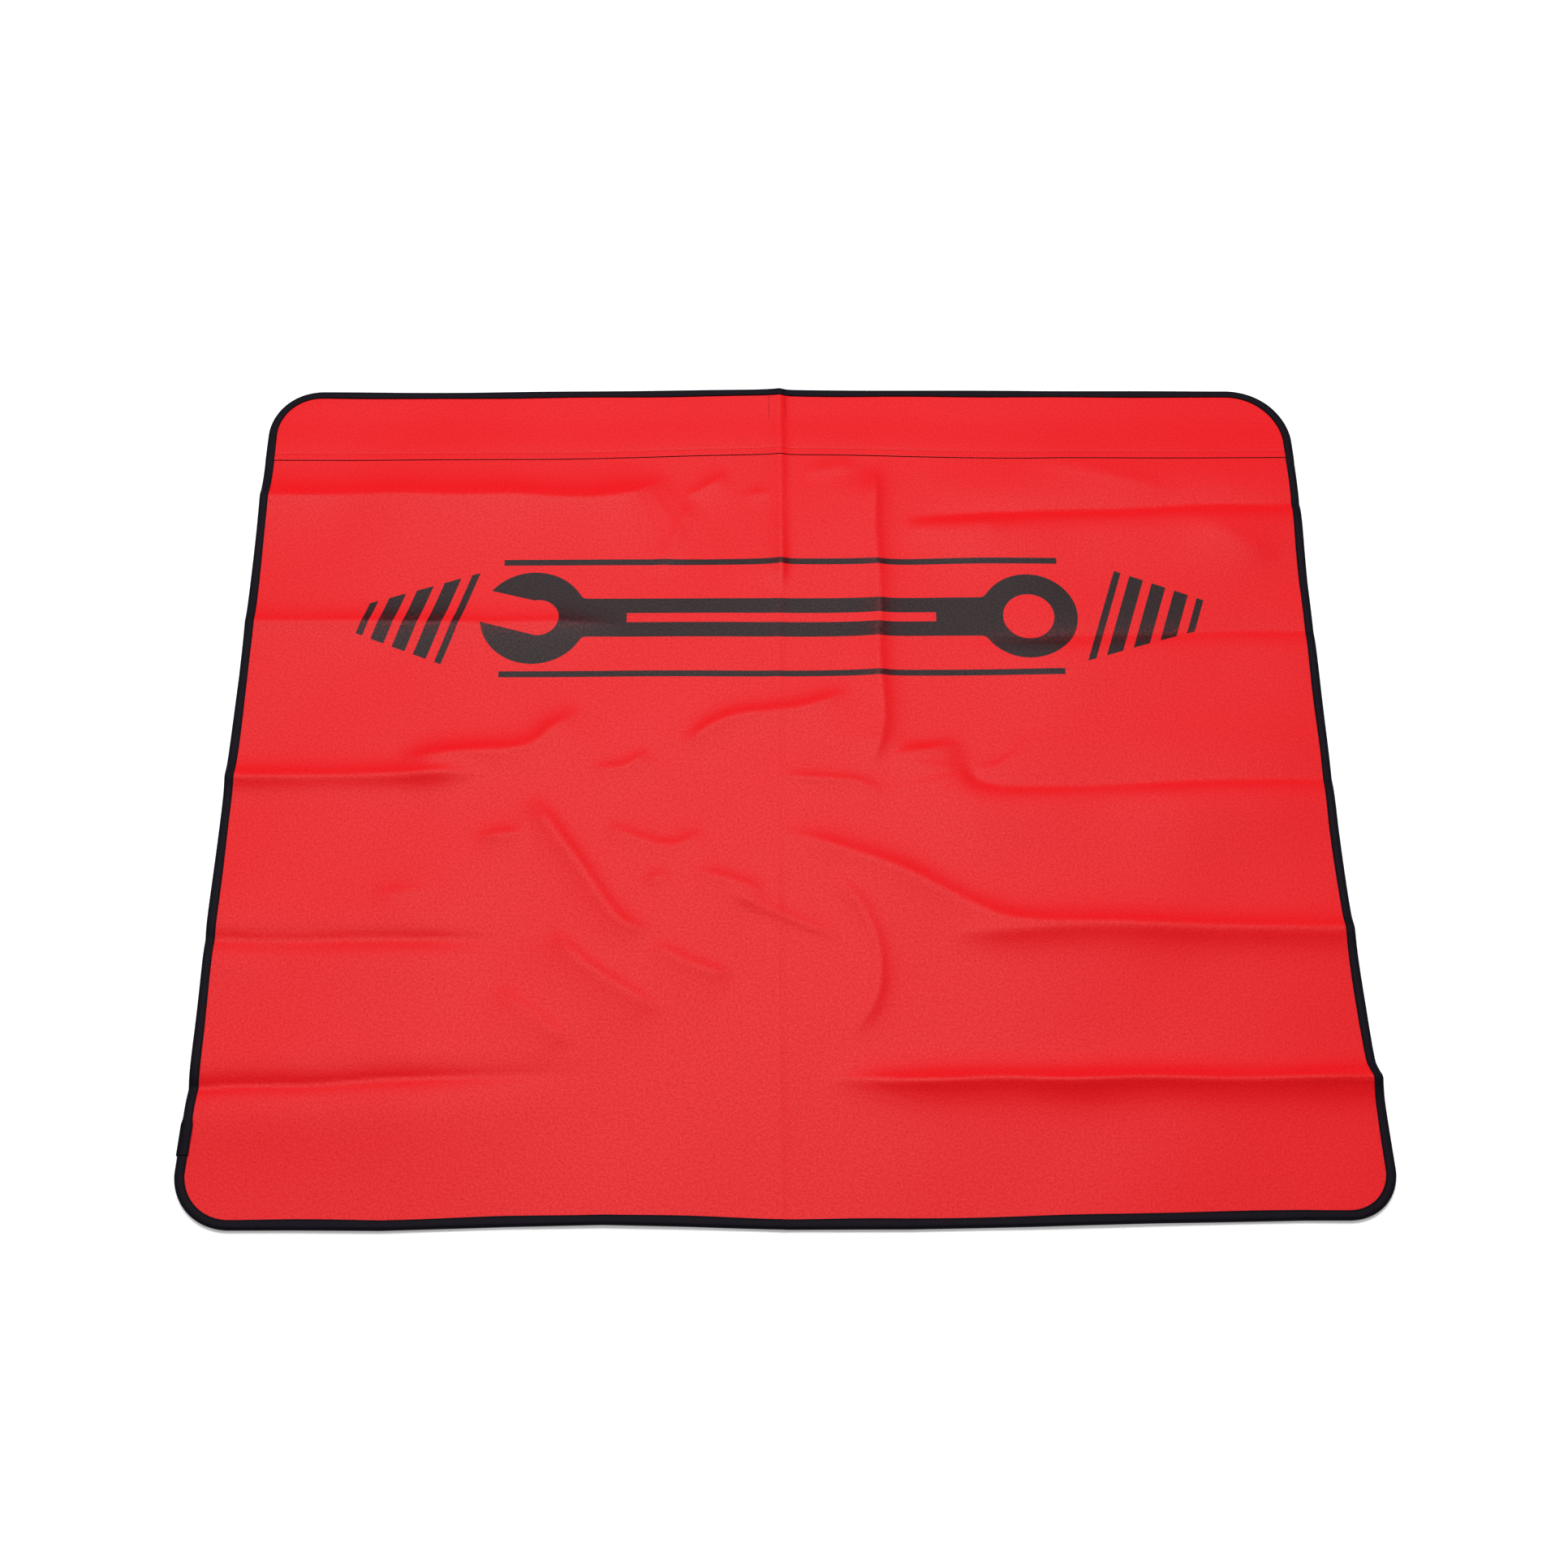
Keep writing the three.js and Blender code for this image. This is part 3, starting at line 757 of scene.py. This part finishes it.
red_thread = thread("red_thread", (0.10, 0.003, 0.005, 1), (0.24, 0.006, 0.009, 1))
header_end = thread_high.x
header_count = int(2 * header_end / STITCH)
for name, face, level in (("needle", 1, BAND_HIGH.z - HEADER_SUNK), ("bobbin", -1, BOBBIN_LEVEL)):
    row = stitch_row(f"header_{name}_stitches", header_count, 2 * header_end / header_count, face)
    for v in row.data.vertices:
        v.co = (v.co.x - header_end, v.co.y + STITCH_ROW_Y, level + v.co.z)
    lay(row)
    smooth_shade(row, 60)
    row.data.materials.append(red_thread)
    cross_fold(row, f"header_{name}_thread")

for half in ("right", "left"):
    low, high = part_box(f"pocket_needle_thread_{half}")
    pocket_count = int((high.y - low.y) / STITCH)
    pitch = (high.y - low.y) / pocket_count
    for name, face, level in (("needle", 1, SKIN_HIGH.z + POCKET_PROUD), ("bobbin", -1, BOBBIN_LEVEL)):
        row = stitch_row(f"pocket_{name}_stitches_{half}", pocket_count, pitch, face)
        for v in row.data.vertices:
            v.co = ((low.x + high.x) / 2 - v.co.y, low.y + v.co.x, level + v.co.z)
        lay(row)
        smooth_shade(row, 60)
        row.data.materials.append(red_thread)
        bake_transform(row)
        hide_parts(f"pocket_{name}_thread_{half}")

# ---- Edge binding --------------------------------------------------------------------------------------
# One length of black coated tape, folded in half round the rim. It starts on the left side near the lower
# corner, runs once round, and its end is lapped over its beginning. It puckers between the stitches.

TAPE_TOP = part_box("edge_binding_right")[1].z
TAPE_WALL = 0.8 * MM
TAPE_START_Y = -336 * MM
TAPE_LAP = 26 * MM
LEG_END = 8.5 * MM
EDGE_RADIUS = TAPE_TOP / 2
TAPE_RADIUS = EDGE_RADIUS - TAPE_WALL / 2
LEG = LEG_END - EDGE_RADIUS
TAPE_WIDTH = 2 * LEG + math.pi * TAPE_RADIUS
# The stitches run down the middle of the place, 0.6 mm wide, that is kept for their thread.
SEWN_AT = HALF_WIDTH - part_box("binding_needle_thread_right")[1].x + 0.3 * MM
TAPE_SEWN_DEPTH = 0.28 * MM
PUCKER = 0.10 * MM
EDGE_WANDER = 0.35 * MM
# The lapped end climbs over the tape's beginning, a little wider and further out than it.
END_CLIMB, END_CLIMB_RUN = 0.95 * MM, 8 * MM
END_INSIDE, END_OUTSIDE = 1.3 * MM, 0.9 * MM

# The rim's stretches, anticlockwise from the tape's start: the two ends of a straight one, or the middle,
# radius and first angle of a round one.
ROUTE = [[(-HALF_WIDTH, TAPE_START_Y)]]
for turn, (side, end, radius) in enumerate(CORNERS):
    middle = (side * (HALF_WIDTH - radius), end * (HALF_LENGTH - radius))
    first = math.pi * (1 + turn / 2)
    turned_in, turned_out = [
        (middle[0] + radius * math.cos(angle), middle[1] + radius * math.sin(angle))
        for angle in (first, first + math.pi / 2)
    ]
    ROUTE[-1].append(turned_in)
    ROUTE += [[middle, radius, first], [turned_out]]
ROUTE[-1].append((-HALF_WIDTH, TAPE_START_Y - TAPE_LAP))


def stretch_length(stretch):
    return math.dist(*stretch) if len(stretch) == 2 else stretch[1] * math.pi / 2


ONCE_ROUND = sum(stretch_length(stretch) for stretch in ROUTE) - TAPE_LAP


def rim_place(travel, inward):
    """The flat place so far inward of the outer edge, after so much travel round the rim."""
    for stretch in ROUTE:
        length = stretch_length(stretch)
        if travel <= length or stretch is ROUTE[-1]:
            break
        travel -= length
    if len(stretch) == 2:
        (ax, ay), (bx, by) = stretch
        ux, uy = (bx - ax) / length, (by - ay) / length
        return ax + ux * travel - uy * inward, ay + uy * travel + ux * inward
    (cx, cy), radius, first = stretch
    angle = first + travel / radius
    return cx + (radius - inward) * math.cos(angle), cy + (radius - inward) * math.sin(angle)


def folded(c):
    """Where a place at c across the tape goes once the tape is folded: inward from the edge, and up."""
    if c < LEG:
        return LEG_END - c, TAPE_WALL / 2
    if c > TAPE_WIDTH - LEG:
        return LEG_END - (TAPE_WIDTH - c), TAPE_TOP - TAPE_WALL / 2
    angle = (c - LEG) / TAPE_RADIUS
    return EDGE_RADIUS - TAPE_RADIUS * math.sin(angle), EDGE_RADIUS - TAPE_RADIUS * math.cos(angle)


def lap_thickness(x, y):
    """How much the header band's lap adds to the rim's thickness at a flat place."""
    on_lap = smooth((y - BAND_LOW.y + 6 * MM) / (7 * MM))
    return LAP_HEIGHT * on_lap * (1 - smooth((y - LAP_END) / LAP_RUN))


lower_leg = [LEG * share for share in (0, 1 / 3, 2 / 3)]
turned_edge = [LEG + t / 8 * math.pi * TAPE_RADIUS for t in range(9)]
upper_leg = [TAPE_WIDTH - LEG * share for share in (0.8, 0.6, 0.45, 0.3, 0.15, 0)]
across_tape = lower_leg + turned_edge + upper_leg
edge_binding = flat_grid("edge_binding", lines(0, ONCE_ROUND + TAPE_LAP, 2.6 * MM), across_tape, 0)
along_tape = edge_binding.data.uv_layers.new(name="tape")
for loop in edge_binding.data.loops:
    at = edge_binding.data.vertices[loop.vertex_index].co
    along_tape.data[loop.index].uv = (at.x, at.y)
for v in edge_binding.data.vertices:
    travel = v.co.x
    inward, up = folded(v.co.y)
    if v.co.y > TAPE_WIDTH - LEG:
        ripple = math.sin(travel * 620) * math.sin(travel * 233 + 1.3)
        ripple += 0.5 * math.sin(travel * 1140 + 2)
        up -= TAPE_SEWN_DEPTH * math.exp(-(((inward - SEWN_AT) / SEWN_WIDTH) ** 2))
        up += PUCKER * ripple * smooth((inward - 2.5 * MM) / (5 * MM))
        inward += EDGE_WANDER * math.sin(travel * 41 + 0.5) * smooth((inward - 4 * MM) / (4 * MM))
    over = smooth((travel - ONCE_ROUND + END_CLIMB_RUN) / END_CLIMB_RUN)
    if up > EDGE_RADIUS:
        up += END_CLIMB * over
    inward += (END_INSIDE if inward > EDGE_RADIUS else -END_OUTSIDE) * over
    x, y = rim_place(travel, inward)
    if up > EDGE_RADIUS:
        up += lap_thickness(x, y)
    v.co = (x, y, up)
finish_with(edge_binding, "SOLIDIFY", thickness=TAPE_WALL, offset=0)
for v in edge_binding.data.vertices:
    v.co.z = max(v.co.z, 0)
lay(edge_binding)
smooth_shade(edge_binding, 50)

TAPE_DARK, TAPE_PALE = (0.0030, 0.0020, 0.0045, 1), (0.0080, 0.0055, 0.0110, 1)
WEAVE_HEIGHT = 0.05 * MM
tape, tree, shader, place = material("black_tape", uv="tape")
weave = node(
    tree, "TexWave", {"Vector": place, "Scale": 420.0, "Distortion": 0.6}, bands_direction="DIAGONAL"
).outputs["Fac"]
lint = noise(tree, place, 130.0, 4.0)
tape_colour = mixed(tree, lint, TAPE_DARK, TAPE_PALE)
paint(tree, shader, tape_colour, maths(tree, "MULTIPLY", weave, WEAVE_HEIGHT))
socket(tree, maths(tree, "MULTIPLY_ADD", lint, 0.2, 0.45), shader.inputs["Roughness"])
shader.inputs["Specular IOR Level"].default_value = 0.045
edge_binding.data.materials.append(tape)
cross_fold(edge_binding, "edge_binding")

# ---- Binding stitches ----------------------------------------------------------------------------------
# Black polyester lockstitch, once round the rim, through both legs of the tape and all that lies between
# them. It sinks into the tape's soft coating, on the face and on the back.

TAPE_SUNK, TAPE_BOBBIN_LEVEL = 0.30 * MM, 0.12 * MM
black_thread = thread("black_thread", (0.004, 0.004, 0.005, 1), (0.016, 0.016, 0.019, 1))
round_count = int(ONCE_ROUND / STITCH)
for name, face, level in (("needle", 1, TAPE_TOP - TAPE_SUNK), ("bobbin", -1, TAPE_BOBBIN_LEVEL)):
    row = stitch_row(f"binding_{name}_stitches", round_count, ONCE_ROUND / round_count, face)
    for v in row.data.vertices:
        x, y = rim_place(v.co.x, SEWN_AT + v.co.y)
        over_lap = lap_thickness(x, y) if face > 0 else 0
        v.co = (x, y, max(level + v.co.z + over_lap, 0))
    lay(row)
    smooth_shade(row, 60)
    row.data.materials.append(black_thread)
    cross_fold(row, f"binding_{name}_thread")

# ---- Floor, light and camera ---------------------------------------------------------------------------
# A plain pale floor that is lit a little from within, like a light table, and one broad soft light, high
# up beyond the cover. The camera looks down from a person's height, half a metre off the lower edge.

FLOOR_GLOW = 0.35
FLOOR_SIZE = 14
bpy.ops.mesh.primitive_plane_add(size=FLOOR_SIZE, location=(0, 0, -0.1 * MM))
floor = bpy.context.object
floor.name = "floor"
pale_floor = bpy.data.materials.new("pale_floor")
pale_floor.use_nodes = True
shader = pale_floor.node_tree.nodes["Principled BSDF"]
shader.inputs["Base Color"].default_value = (0.94, 0.94, 0.94, 1)
shader.inputs["Specular IOR Level"].default_value = 0.0
shader.inputs["Emission Color"].default_value = (1, 1, 1, 1)
shader.inputs["Emission Strength"].default_value = FLOOR_GLOW
floor.data.materials.append(pale_floor)

SOFTBOX_PLACE, SOFTBOX_AIM = Vector((-0.25, 2.15, 5.5)), Vector((0, 0.05, 0))
bpy.ops.object.light_add(type="AREA", location=SOFTBOX_PLACE)
softbox = bpy.context.object
softbox.name = "key_softbox"
softbox.data.shape = "RECTANGLE"
softbox.data.size, softbox.data.size_y = 3.8, 2.75
softbox.data.energy = 388
softbox.rotation_euler = (SOFTBOX_AIM - SOFTBOX_PLACE).to_track_quat("-Z", "Y").to_euler()

# The surround gives little light, so that the creases keep their shading, but it is seen much paler.
SURROUND_LIGHT = 0.14
SURROUND_SEEN = 0.52
world = bpy.data.worlds.new("studio")
bpy.context.scene.world = world
world.use_nodes = True
tree = world.node_tree
background = tree.nodes["Background"]
background.inputs["Color"].default_value = (1, 1, 1, 1)
seen = node(tree, "LightPath").outputs["Is Camera Ray"]
surround = maths(tree, "MULTIPLY_ADD", seen, SURROUND_SEEN - SURROUND_LIGHT, SURROUND_LIGHT)
socket(tree, surround, background.inputs["Strength"])

CAMERA_PLACE = Vector((-0.0273, -0.958, 1.771))
VIEW = Vector((0.0148, 0.4713, -0.8818)).normalized()
UPWARD = Vector((0.0045, 0.8818, 0.4713))
right = VIEW.cross(UPWARD).normalized()
up = right.cross(VIEW)
bpy.ops.object.camera_add()
camera = bpy.context.object
camera.matrix_world = Matrix((
    (right.x, up.x, -VIEW.x, CAMERA_PLACE.x),
    (right.y, up.y, -VIEW.y, CAMERA_PLACE.y),
    (right.z, up.z, -VIEW.z, CAMERA_PLACE.z),
    (0, 0, 0, 1),
))
camera.data.sensor_width = 36
camera.data.lens = 51.1
bpy.context.scene.camera = camera
bpy.context.scene.view_settings.view_transform = "Standard"
